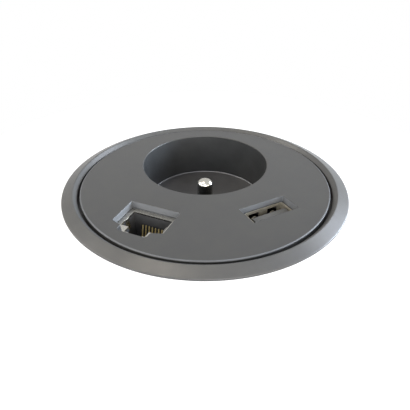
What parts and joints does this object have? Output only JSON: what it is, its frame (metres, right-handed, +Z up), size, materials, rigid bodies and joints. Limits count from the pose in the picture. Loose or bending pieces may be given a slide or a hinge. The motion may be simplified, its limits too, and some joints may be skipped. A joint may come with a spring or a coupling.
{
  "type": "desk socket",
  "caption": "Round in-desk power module with an earthed mains socket, a data jack and a USB charging port in a trim ring, clamped from below by a ring nut.",
  "frame": {"origin": "centre of the trim ring in the plane of the desk surface that its flange rests on", "axes": "+Z up, out of the desk; -Y towards the person at the desk, with the mains socket at the back and the data and charging ports at the front"},
  "size_m": [0.094, 0.094, 0.056],
  "materials": {
    "anthracite": "fine matte texture",
    "black_plastic": "moulded, matte",
    "rubber": "smooth soft rubber",
    "nickel": "nickel plated, satin",
    "spring_steel": "drawn steel wire",
    "brass": "punched sheet",
    "zinc_steel": "zinc plated",
    "tin": "tin plated sheet",
    "gold_contact": "thin gold plating",
    "circuit_board": "solder mask",
    "pale_plastic": "moulded, matte",
    "black_resin": "moulded resin",
    "ferrite": "pressed ferrite",
    "copper_winding": "enamelled wire",
    "lead_insulation": "brown and blue sleeving"
  },
  "bodies": {
    "module": {"trim_ring": "anthracite", "insert_plate": "anthracite", "threaded_sleeve": "black_plastic", "socket_floor": "black_plastic", "contact_carrier": "black_plastic", "lower_housing": "black_plastic", "base_cover": "black_plastic", "mains_inlet": "black_plastic", "data_jack_body": "black_plastic", "rear_jack_body": "black_plastic", "insert_seal": "rubber", "earth_pin": "nickel", "inlet_blades": "nickel", "usb_shell": "nickel", "earth_strap": "brass", "line_contact": "brass", "neutral_contact": "brass", "carrier_screws": "zinc_steel", "housing_screws": "zinc_steel", "data_jack_shield": "tin", "rear_jack_shield": "tin", "data_jack_contacts": "gold_contact", "rear_jack_contacts": "gold_contact", "usb_contacts": "gold_contact", "data_board": "circuit_board", "charger_board": "circuit_board", "usb_tongue": "pale_plastic", "board_components": "black_resin", "capacitors": "black_resin", "transformer_core": "ferrite", "transformer_coil": "copper_winding", "supply_leads": "lead_insulation", "shutter_spring": "spring_steel"},
    "shutter": {"shutter": "black_plastic"},
    "clamp_washer": {"clamp_washer": "black_plastic", "clamp_pad": "rubber"},
    "ring_nut": {"ring_nut": "black_plastic"}
  },
  "joints": [
    {"name": "shutter_slide", "type": "slide", "parent": "module", "child": "shutter", "axis": [0, 1, 0], "range_m": [0, 0.006], "stiffness_N_per_m": 60, "springref_m": -0.008, "deforming": ["shutter_spring"]},
    {"name": "clamp_slide", "type": "slide", "parent": "module", "child": "clamp_washer", "axis": [0, 0, 1], "range_m": [-0.006, 0.019]},
    {"name": "nut_turn", "type": "hinge", "parent": "clamp_washer", "child": "ring_nut", "pos_m": [0, 0, -0.034], "axis": [0, 0, 1], "range_deg": [-540, 1710]}
  ],
  "couplings": [
    {"joint": "clamp_slide", "follows": "nut_turn", "m_per_rad": 0.0006366}
  ]
}
